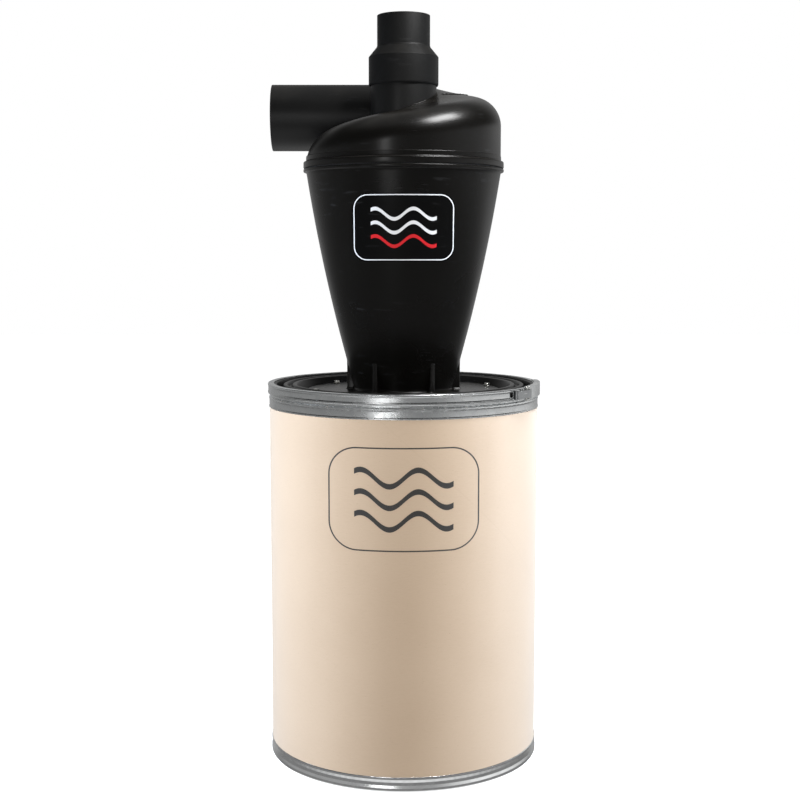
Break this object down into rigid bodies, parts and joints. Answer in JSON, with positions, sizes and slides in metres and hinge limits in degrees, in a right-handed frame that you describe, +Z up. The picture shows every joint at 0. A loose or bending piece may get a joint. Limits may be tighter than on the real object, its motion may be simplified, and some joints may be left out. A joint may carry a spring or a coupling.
{
  "type": "dust collector",
  "caption": "Cyclone dust separator with a spiral head and side inlet, bolted to the recessed lid of a round fibre drum that a lever-lock ring clamps shut.",
  "frame": {"origin": "on the floor under the drum's axis", "axes": "+Z up along the axis of drum and cyclone, -Y the front, the inlet tube points along -X at the back"},
  "size_m": [0.5246, 0.5228, 1.4145],
  "materials": {
    "kraft_fibre": "matt wound kraft paper",
    "galvanised_steel": "rolled galvanised sheet",
    "zinc_plated_steel": "zinc plated",
    "black_moulding": "satin black moulding",
    "black_rubbery_plastic": "matt black moulding",
    "seal_rubber": "matt foam rubber",
    "label_plate": "printed plastic sheet"
  },
  "bodies": {
    "drum": {"drum_body": "kraft_fibre", "drum_bottom": "kraft_fibre", "bottom_chime": "galvanised_steel", "top_chime": "galvanised_steel"},
    "ring_right": {"ring_band_right": "galvanised_steel", "pivot_bracket": "galvanised_steel", "pivot_pin": "zinc_plated_steel"},
    "ring_left": {"ring_band_left": "galvanised_steel", "catch_bracket": "galvanised_steel"},
    "latch_lever": {"lever": "galvanised_steel", "link_pin": "zinc_plated_steel"},
    "latch_link": {"link": "galvanised_steel", "catch_pin": "zinc_plated_steel"},
    "cyclone": {"lid": "black_moulding", "lid_gasket": "seal_rubber", "base_gasket": "seal_rubber", "cyclone_cone": "black_moulding", "joint_seal": "seal_rubber", "cyclone_head": "black_moulding", "inlet_tube": "black_moulding", "outlet_tube": "black_moulding", "base_bolts": "zinc_plated_steel", "bolt_washers": "zinc_plated_steel", "nut_washers": "zinc_plated_steel", "base_nuts": "zinc_plated_steel", "cyclone_label": "label_plate"},
    "hose_reducer": {"reducer": "black_rubbery_plastic"}
  },
  "joints": [
    {"name": "ring_right_spread", "type": "hinge", "parent": "drum", "child": "ring_right", "pos_m": [-0.21232, 0.15145, 0.7123], "axis": [0, 0, 1], "range_deg": [0, 1.17], "deforming": ["ring_band_right"]},
    {"name": "ring_left_spread", "type": "hinge", "parent": "ring_right", "child": "ring_left", "pos_m": [-0.21232, 0.15145, 0.7123], "axis": [0, 0, -1], "range_deg": [0, 2.34], "deforming": ["ring_band_left"]},
    {"name": "lever_swing", "type": "hinge", "parent": "ring_right", "child": "latch_lever", "pos_m": [0.22526, -0.14185, 0.7123], "axis": [0, 0, -1], "range_deg": [0, 165]},
    {"name": "link_swing", "type": "hinge", "parent": "latch_lever", "child": "latch_link", "pos_m": [0.231, -0.13229, 0.7123], "axis": [0, 0, 1], "range_deg": [0, 158]},
    {"name": "lid_lift", "type": "slide", "parent": "drum", "child": "cyclone", "axis": [0, 0, 1], "range_m": [0, 0.25]},
    {"name": "reducer_lift", "type": "slide", "parent": "cyclone", "child": "hose_reducer", "axis": [0, 0, 1], "range_m": [0, 0.06]}
  ],
  "couplings": [
    {"joint": "ring_right_spread", "follows": "lever_swing", "ratio": 0.007046},
    {"joint": "ring_left_spread", "follows": "lever_swing", "ratio": 0.014092},
    {"joint": "link_swing", "follows": "lever_swing", "ratio": 0.9553}
  ]
}
